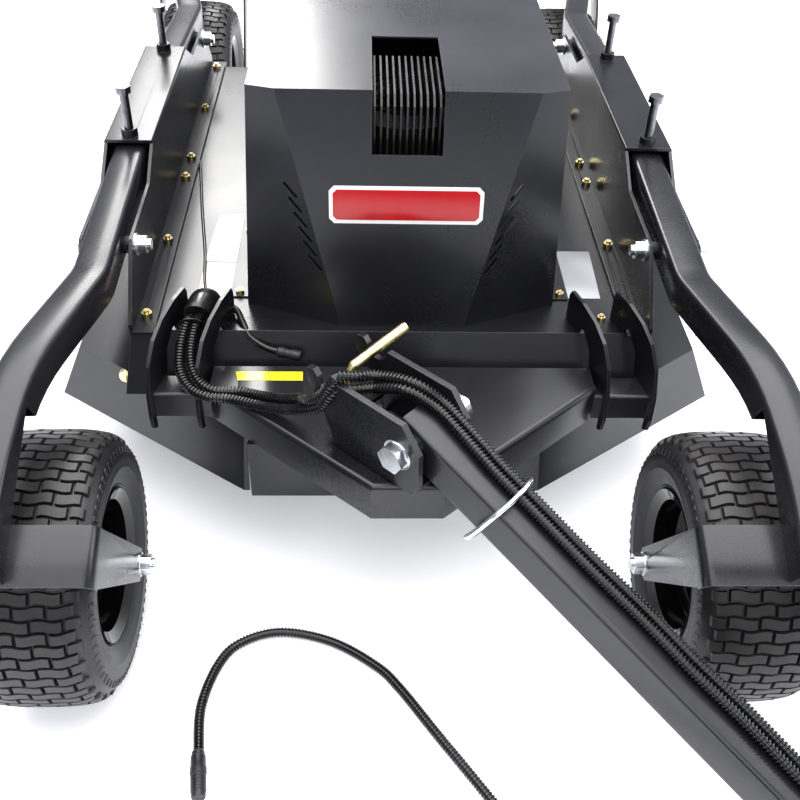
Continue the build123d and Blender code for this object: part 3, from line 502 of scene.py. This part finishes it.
def crown(x):
    """outer radius at x across the tyre (m)"""
    a = abs(x)
    pts = [(0.0, 0.203), (0.030, 0.2026), (0.050, 0.2012), (0.066, 0.1986), (0.078, 0.1942), (0.086, 0.1885), (0.0915, 0.1808), (0.0945, 0.170), (0.095, 0.158)]
    for (x0, r0), (x1, r1) in zip(pts, pts[1:]):
        if a <= x1:
            return r0 + (r1 - r0) * (a - x0) / (x1 - x0)
    return 0.158


def tyre_parts():
    """carcass as a lathe, then staggered lugs with wavy cross grooves, shoulder ribs and moulding whiskers"""
    depth = 0.0062
    prof = []
    for i in range(33):
        x = -0.088 + 0.176 * i / 32
        prof.append((x, crown(x) - depth))
    side = [(0.0915, 0.177), (0.0942, 0.168), (0.0950, 0.156), (0.0946, 0.148), (0.0950, 0.1465), (0.0942, 0.145), (0.0915, 0.134),
            (0.0868, 0.1245), (0.0850, 0.1215), (0.0858, 0.1200), (0.0842, 0.1180), (0.0800, 0.1145), (0.0790, 0.1125), (0.0722, 0.1068), (0.0720, 0.1025)]
    inner = [(0.0600, 0.1022), (0.0660, 0.112), (0.0850, 0.150), (0.0750, 0.180), (0.0400, 0.1915), (0.0, 0.1925)]
    loop = [(-x, r) for x, r in reversed(side)] + prof + side + inner + [(-x, r) for x, r in reversed(inner[:-1])]
    seg = 144
    V, F = [], []
    n = len(loop)
    for k in range(seg):
        a = 2 * math.pi * k / seg
        for x, r in loop:
            V.append(Vector((x, r * math.cos(a), r * math.sin(a))))
    for k in range(seg):
        k2 = (k + 1) % seg
        for i in range(n):
            j = (i + 1) % n
            F.append((k * n + i, k * n + j, k2 * n + j, k2 * n + i))
    carc = (V, F)
    rows = 66
    pitch = 2 * math.pi / rows
    lugs = []

    def lug(x0, x1, ang, kind=0):
        nx = 6
        gap = 0.0030 / R_T
        half = (pitch - gap) / 2
        V, F = [], []
        amp = 0.0019 / R_T

        def wave(x):
            return amp * math.sin((x / 0.0425) * 2 * math.pi)

        lv = [(-depth - 0.002, 0.0, 0.0), (-0.0012, 0.0005, 0.0004), (0.0, 0.0013, 0.0011)]
        for dr, ix, ia in lv:
            ring = []
            for s in (-1, 1):
                xs = [x0 + ix + (x1 - x0 - 2 * ix) * i / (nx - 1) for i in range(nx)]
                if s > 0:
                    xs = xs[::-1]
                for x in xs:
                    a = ang + s * (half - ia / R_T) + wave(x)
                    r = crown(x) + dr
                    ring.append(Vector((x, r * math.cos(a), r * math.sin(a))))
            V += ring
        m = 2 * nx
        for lvl in (0, 1):
            for i in range(m):
                a, b = lvl * m + i, lvl * m + (i + 1) % m
                F.append((a, a + m, b + m, b))
        for i in range(nx - 1):
            a, b = 2 * m + i, 2 * m + i + 1
            c, d = 2 * m + (m - 2 - i), 2 * m + (m - 1 - i)
            F.append((a, d, c, b))
        F.append(tuple(range(m)))
        return V, F

    for k in range(rows):
        ang = k * pitch
        g = 0.0015
        if k % 2 == 0:
            spans = [(-0.0213, 0.0213), (0.0213, 0.0638), (-0.0638, -0.0213), (0.0638, 0.0845), (-0.0845, -0.0638)]
        else:
            spans = [(0.0, 0.0425), (-0.0425, 0.0), (0.0425, 0.0780), (-0.0780, -0.0425)]
        for a, b in spans:
            lugs.append(lug(a + g, b - g, ang))
        # shoulder ribs
        for s in (-1, 1):
            V, F = [], []
            for dr, h in ((0.0, 0.5), (0.0011, 0.32)):
                for (x, r) in ((0.0915, 0.1772), (0.0943, 0.1680)):
                    for q in (-1, 1):
                        a = ang + q * h * 0.0075 / 0.17
                        V.append(Vector((s * (x + dr + (-0.0006 if dr == 0 else 0)), r * math.cos(a), r * math.sin(a))))
            F = [(4, 5, 7, 6), (0, 1, 5, 4), (2, 3, 7, 6), (0, 2, 6, 4), (1, 3, 7, 5), (0, 1, 3, 2)]
            lugs.append((V, F))
    whisk = []
    rw = random.Random(11)
    for k in range(96):
        a = 2 * math.pi * (k + rw.random() * 0.5) / 96
        s = 1 if k % 2 else -1
        for (x, r, dx, dr) in ((0.0835, 0.187, 0.35, 0.94), (0.0940, 0.168, 0.95, 0.3)):
            if rw.random() < 0.35:
                continue
            L = 0.003 + 0.004 * rw.random()
            p = Vector((s * x, r * math.cos(a), r * math.sin(a)))
            d = Vector((s * dx, dr * math.cos(a) + 0.2 * (rw.random() - 0.5), dr * math.sin(a) + 0.2 * (rw.random() - 0.5))).normalized()
            whisk.append(tube_mesh([p - d * 0.001, p + d * L * 0.6, p + d * L], [0.00042, 0.00036, 0.0002], 5))
    return carc, merge(lugs), merge(whisk)


CARC, LUGS, WHISK = tyre_parts()
CARC_ME = LUGS_ME = None
for jn, j in J.items():
    if not jn.endswith("_wheel_spin"):
        continue
    c = jn[:-len("_wheel_spin")]
    ctr = Vector(j["pos_m"])
    node = c + "_tyre"
    V, F = merge([CARC])
    o = mesh(c + "_tyre_carcass", [v + ctr for v in V], F, "sidewall_rubber", c + "_wheel", 40)
    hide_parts(node)
    mesh(c + "_tyre_tread", [v + ctr for v in LUGS[0]], LUGS[1], "tyre_rubber", c + "_wheel", 30)
    mesh(c + "_tyre_whiskers", [v + ctr for v in WHISK[0]], WHISK[1], "tyre_rubber", c + "_wheel", 60)

# ------------------------------------------------------------------ hitch frames
YAW, PITCH = math.radians(46.8), math.radians(20.75)
fw = Vector((math.sin(YAW), -math.cos(YAW), 0))
lf = Vector((-math.cos(YAW), -math.sin(YAW), 0))
dv = Vector((fw.x * math.cos(PITCH), fw.y * math.cos(PITCH), -math.sin(PITCH)))
up = Vector((fw.x * math.sin(PITCH), fw.y * math.sin(PITCH), math.cos(PITCH)))
B = Vector(J["tongue_pitch"]["pos_m"])


def TP(t, s, u):
    return B + dv * (t / 1000) + lf * (s / 1000) + up * (u / 1000)


def HP(t, s, z):
    p = B + fw * (t / 1000) + lf * (s / 1000)
    return Vector((p.x, p.y, z / 1000))


# ------------------------------------------------------------------ looms
T_END = 875
LOOM_R = 0.0083
RIB = 0.0024
u0 = 40.2
for k in (0, 1):
    # the first loom lies outside and below, the second inside and above it
    if k == 0:
        pa = [W(-324, 366, 411), W(-335, 328, 404), W(-340, 288, 392), W(-336, 244, 378), W(-318, 212, 369), W(-290, 196, 366.5), W(-251, 190, 366), W(-205, 170, 371), W(-174, 151, 382), W(-151, 134, 396)]
        cross = [HP(-164, 69, 411), HP(-141, 66.5, 429), HP(-128, 61, 453), HP(-123, 50, 468.5)]
        tail = [HP(-105, 39, 466), HP(-84, 16, 466)]
        on = [TP(-56, 1, 40.6), TP(-10, -15, u0), TP(30, -15, u0), TP(72, -12, u0), TP(113, -9, u0)]
        s0 = -7
    else:
        pa = [W(-308, 367, 412), W(-319, 330, 405), W(-323, 290, 393), W(-319, 252, 380), W(-304, 224, 371), W(-280, 210, 367), W(-240, 206.5, 367), W(-196, 187, 374), W(-166, 167, 388), W(-143, 150, 404)]
        cross = [HP(-167, 66, 425), HP(-143, 65, 446), HP(-129, 60, 470), HP(-123, 48, 485.2)]
        tail = [HP(-108, 30, 482), HP(-88, 4, 479)]
        on = [TP(-56, -14, 46), TP(-10, -30.5, u0 + 0.6), TP(30, -30.5, u0), TP(72, -28, u0), TP(113, -25, u0)]
        s0 = -23
    v, f = corrugated(pa + cross, LOOM_R - RIB, LOOM_R)
    a = mesh("loom_front_%d" % (k + 1), v, f, "loom_plastic", None, 30)
    if k == 0:
        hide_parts("deck_loom")
    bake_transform(a)
    pb = [cross[2] + (cross[3] - cross[2]) * 0.75, cross[3]] + tail + on
    pb += [TP(q, s0 + (0.8 if (q // 90) % 2 else -0.8), u0) for q in range(200, T_END, 90)] + [TP(T_END, s0, u0)]
    v, f = corrugated(pb, LOOM_R - RIB, LOOM_R)
    b = mesh("loom_tongue_%d" % (k + 1), v, f, "loom_plastic", None, 30)
    if k == 0:
        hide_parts("tongue_loom")
    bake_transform(b)

# boot where the looms leave the deck
pts = [W(-312, 398, 397), W(-313, 386, 405), W(-315, 370, 410), W(-318, 351, 410)]
v, f = merge([tube_mesh(pts, [0.0270, 0.0262, 0.0250, 0.0225], 28),
              tube_mesh([W(-318, 353, 410), W(-319, 345, 409)], [0.0240, 0.0232], 28)])
mesh("loom_boot", v, f, "loom_plastic", "deck", 40)
# cable tie round the two looms
ring = []
for k in range(25):
    a = 2 * math.pi * k / 24
    ring.append(W(-327.2 + 19.4 * math.cos(a), 329, 404.5 + 11.2 * math.sin(a)))
P, F_ = frames_along(ring)
tie = tube_mesh(ring, [0.0019] * len(ring), 8)
head = slab([W(-314, 324, 413), W(-314, 334, 413), W(-322, 334, 417.5), W(-322, 324, 417.5)], (0.5, 0, 0.85), 0.005)
v, f = merge([tie, head])
mesh("cable_tie", v, f, "loom_plastic", "deck", 40)
# lead with its connector
v, f = rod([W(-302, 396, 399), W(-284, 399, 396), W(-262, 388, 392), W(-250, 366, 384), W(-236, 342, 371), W(-208, 319, 366), W(-176, 307, 365), W(-150, 300, 365)], 0.0055, 14)
lead = mesh("connector_lead", v, f, "loom_plastic", "deck", 40)
cA, cB = W(-190, 312, 364.5), W(-150, 299, 364.5)
P = [cA, cA + (cB - cA) * 0.08, cA + (cB - cA) * 0.1, cA + (cB - cA) * 0.34, cA + (cB - cA) * 0.36, cA + (cB - cA) * 0.6, cA + (cB - cA) * 0.62, cA + (cB - cA) * 0.95, cB]
v, f = tube_mesh(P, [0.0062, 0.0075, 0.0090, 0.0090, 0.0076, 0.0076, 0.0088, 0.0088, 0.0075], 18)
mesh("lead_connector", v, f, "black_plastic", "deck", 30)
# thin wire along the deck beside the hood
v, f = rod([W(-303, 392, 398), W(-312, 420, 386), W(-326, 480, 383), W(-336, 567, 383), W(-349, 650, 383), W(-364, 745, 383), W(-382, 870, 383), W(-400, 985, 383), W(-404, 1060, 383)], 0.0030, 10, 0.01)
mesh("deck_wire", v, f, "loom_plastic", "deck", 40)
# harness from the tongue's end: down to the floor, round a loop, to a plug for the towing vehicle
TE = TP(T_END - 6, -7, 40.2)
fl_path = [TE, TP(T_END + 40, 20, 34), W(628, -606, 45), W(540, -636, 14), W(420, -590, 9), W(260, -440, 8.4), W(90, -205, 8.3), W(12, -92, 8.3),
           W(-28, -48, 8.3), W(-101, -2, 8.3), W(-184, 16, 8.3), W(-247, -5, 8.3), W(-278, -46, 8.3), W(-296, -120, 8.3), W(-290, -200, 8.5)]
v, f = corrugated(fl_path, 0.0063, 0.0080)
h_ = mesh("floor_harness", v, f, "loom_plastic", None, 30)
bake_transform(h_)
q0, q1 = W(-290.5, -196, 12.5), W(-281, -268, 12.5)
qd = q1 - q0
prof_ = [(0, 0.0080), (0.04, 0.0098), (0.10, 0.0098), (0.13, 0.0112), (0.34, 0.0112), (0.37, 0.0122), (0.50, 0.0122), (0.53, 0.0106), (0.96, 0.0106), (1.0, 0.0098)]
v1 = tube_mesh([q0 + qd * a for a, _ in prof_], [r for _, r in prof_], 24)
ribs_ = [tube_mesh([q0 + qd * (0.56 + 0.07 * i), q0 + qd * (0.565 + 0.07 * i), q0 + qd * (0.585 + 0.07 * i), q0 + qd * (0.59 + 0.07 * i)], [0.0104, 0.0114, 0.0114, 0.0104], 24) for i in range(5)]
v, f = merge([v1] + ribs_)
mesh("harness_plug", v, f, "black_plastic", "hitch_swing", 30)

# round-bar clip over the looms, its ends turned under the tongue
ring = [(150, 10, -38.2), (147, 36, -39.5), (144, 49, -35), (147, 49.5, -20), (151, 46, 8), (154, 43, 34), (157, 25, 51), (157, 6, 56.5), (156, -10, 57), (153, -28, 54), (149, -37.6, 44), (146, -38.2, 20), (146, -38.2, -16), (147, -36, -34), (150, -26, -38.4), (152, -8, -38.4)]
v, f = rod([TP(*q) for q in ring], 0.0041, 14)
o = mesh("loom_clip_rod", v, f, "silver_zinc", "tongue", 45)
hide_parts("loom_clip")


# ------------------------------------------------------------------ decals, with no lettering
def on_panel(x, z, lift=0.0):
    return W(x, 363 + (z - 380.5) * 68 / 379.5 - lift, z)


PN = Vector((0, -379.5, 68)).normalized()


def panel_plate(name, x0, x1, z0, z1, mat, lift, ch=0):
    c = [(x0 + ch, z0), (x1 - ch, z0), (x1, z0 + ch), (x1, z1 - ch), (x1 - ch, z1), (x0 + ch, z1), (x0, z1 - ch), (x0, z0 + ch)] if ch else [(x0, z0), (x1, z0), (x1, z1), (x0, z1)]
    v, f = slab([on_panel(x, z) + PN * lift for x, z in c], PN, 0.0005)
    return mesh(name, v, f, mat, "deck", 30)


panel_plate("hood_panel_border", -104, 138, 557, 617, "white_vinyl", 0.0004, 8)
panel_plate("hood_panel_band", -98, 132, 563, 611, "red_vinyl", 0.0010, 6)


def flat_plate(name, pts, z, mat, lift=0.0004, body="deck"):
    v, f = slab([W(x, y, z) + Vector((0, 0, lift)) for x, y in pts], (0, 0, 1), 0.0005)
    return mesh(name, v, f, mat, body, 30)


flat_plate("nose_plate_yellow", [(-248, 246), (-145, 246), (-146, 268), (-253, 267)], 357, "yellow_vinyl")
flat_plate("nose_plate_black", [(-243, 209), (-143, 209), (-145, 245), (-248, 245)], 357, "black_vinyl")
flat_plate("deck_panel_left_low", [(-334, 417), (-278, 417), (-278, 547.5), (-334, 547.5)], 380, "blush_vinyl")
flat_plate("deck_panel_left_high", [(-334, 550.5), (-278, 550.5), (-278, 714), (-326, 714)], 380, "white_vinyl")
flat_plate("deck_panel_right", [(309, 446), (366, 446), (372, 597), (309, 597)], 380, "grey_vinyl")

# ------------------------------------------------------------------ cooling ribs under the hood's top opening
parts = []
for k in range(11):
    x = 16 - 50 + 10 * k
    pr = [(446, 640), (446, 728), (462, 741), (600, 744), (600, 640)]
    V = [W(x - 1.6, y, z) for y, z in pr] + [W(x + 1.6, y, z) for y, z in pr]
    n = len(pr)
    Fc = [tuple(range(n)), tuple(reversed(range(n, 2 * n)))] + [(i, i + n, (i + 1) % n + n, (i + 1) % n) for i in range(n)]
    parts.append((V, Fc))
v, f = merge(parts)
mesh("intake_ribs", v, f, "black_plastic", "deck", 30)

# ------------------------------------------------------------------ floor, lights, camera
me = bpy.data.meshes.new("floor")
me.from_pydata([(-14, -14, -0.0005), (14, -14, -0.0005), (14, 14, -0.0005), (-14, 14, -0.0005)], [], [(0, 1, 2, 3)])
fl = bpy.data.objects.new("floor", me)
bpy.context.scene.collection.objects.link(fl)
t = Tree("floor_paper")
n = t.noise(3, 3)
t.set(color=t.mix(t.span(n, 0, 1), (0.86, 0.865, 0.88), (0.90, 0.90, 0.91)), rough=0.6, spec=0.2)
t.b.inputs["Emission Color"].default_value = (0.95, 0.96, 1.0, 1)
t.b.inputs["Emission Strength"].default_value = 0.28
t.bump(t.noise(60, 2), 0.03, 0.001)
me.materials.append(t.m)


def area(name, loc_, aim, size, energy, color=(1, 1, 1), sy=None):
    L = bpy.data.lights.new(name, "AREA")
    L.shape = "RECTANGLE"
    L.size = size
    L.size_y = sy or size
    L.energy = energy
    L.color = color
    o = bpy.data.objects.new(name, L)
    bpy.context.scene.collection.objects.link(o)
    o.location = loc_
    d = Vector(aim) - Vector(loc_)
    o.rotation_euler = d.to_track_quat("-Z", "Y").to_euler()
    return o


area("key_back", W(-850, 4300, 2900), W(-280, 600, 380), 1.2, 80, (1.0, 0.99, 0.97), 1.8)
area("overhead", W(0, 900, 3900), W(0, 500, 0), 6.0, 400, (1.0, 1.0, 1.0), 5.6)
area("front_floor", W(-200, -3300, 2900), W(0, -2300, 0), 5.0, 120, (0.97, 0.98, 1.0), 3.0)
area("right_fill", W(3200, 600, 1800), W(200, 300, 300), 2.2, 45, (0.96, 0.97, 1.0), 1.8)
world = bpy.data.worlds.new("studio")
bpy.context.scene.world = world
world.use_nodes = True
bg = world.node_tree.nodes.get("Background") or world.node_tree.nodes.new("ShaderNodeBackground")
bg.inputs[1].default_value = 1.0
wn = world.node_tree.nodes
wl = world.node_tree.links
tc = wn.new("ShaderNodeTexCoord")
dt = wn.new("ShaderNodeVectorMath"); dt.operation = "DOT_PRODUCT"
dt.inputs[1].default_value = Vector((-0.03, -0.80, 0.60)).normalized()
wl.new(tc.outputs["Generated"], dt.inputs[0])
mr = wn.new("ShaderNodeMapRange"); mr.interpolation_type = "SMOOTHSTEP"
mr.inputs["From Min"].default_value = 0.15
mr.inputs["From Max"].default_value = 0.85
wl.new(dt.outputs["Value"], mr.inputs["Value"])
mxw = wn.new("ShaderNodeMix"); mxw.data_type = "RGBA"
wl.new(mr.outputs[0], mxw.inputs[0])
mxw.inputs[6].default_value = (0.46, 0.475, 0.52, 1)
mxw.inputs[7].default_value = (0.055, 0.055, 0.062, 1)
wl.new(mxw.outputs[2], bg.inputs[0])
wo = world.node_tree.nodes.get("World Output") or world.node_tree.nodes.new("ShaderNodeOutputWorld")
world.node_tree.links.new(bg.outputs[0], wo.inputs[0])

cam = bpy.data.cameras.new("camera")
cam.sensor_width = 36.0
cam.lens = 973.06 * 36.0 / 800.0
cam.clip_start, cam.clip_end = 0.05, 60
co = bpy.data.objects.new("camera", cam)
bpy.context.scene.collection.objects.link(co)
th, ps, ro = math.radians(41.244), math.radians(3.128), math.radians(2.359)
Fv = Vector((math.sin(ps) * math.cos(th), math.cos(ps) * math.cos(th), -math.sin(th)))
Rv = Vector((math.cos(ps), -math.sin(ps), 0))
Uv = Rv.cross(Fv)
R2 = Rv * math.cos(ro) + Uv * math.sin(ro)
U2 = -Rv * math.sin(ro) + Uv * math.cos(ro)
mt = Matrix((R2, U2, -Fv)).transposed().to_4x4()
mt.translation = W(-53.9, -942.0, 1360.6)
co.matrix_world = mt
bpy.context.scene.camera = co
bpy.context.scene.view_settings.view_transform = "Standard"
bpy.context.scene.view_settings.look = "Medium High Contrast"
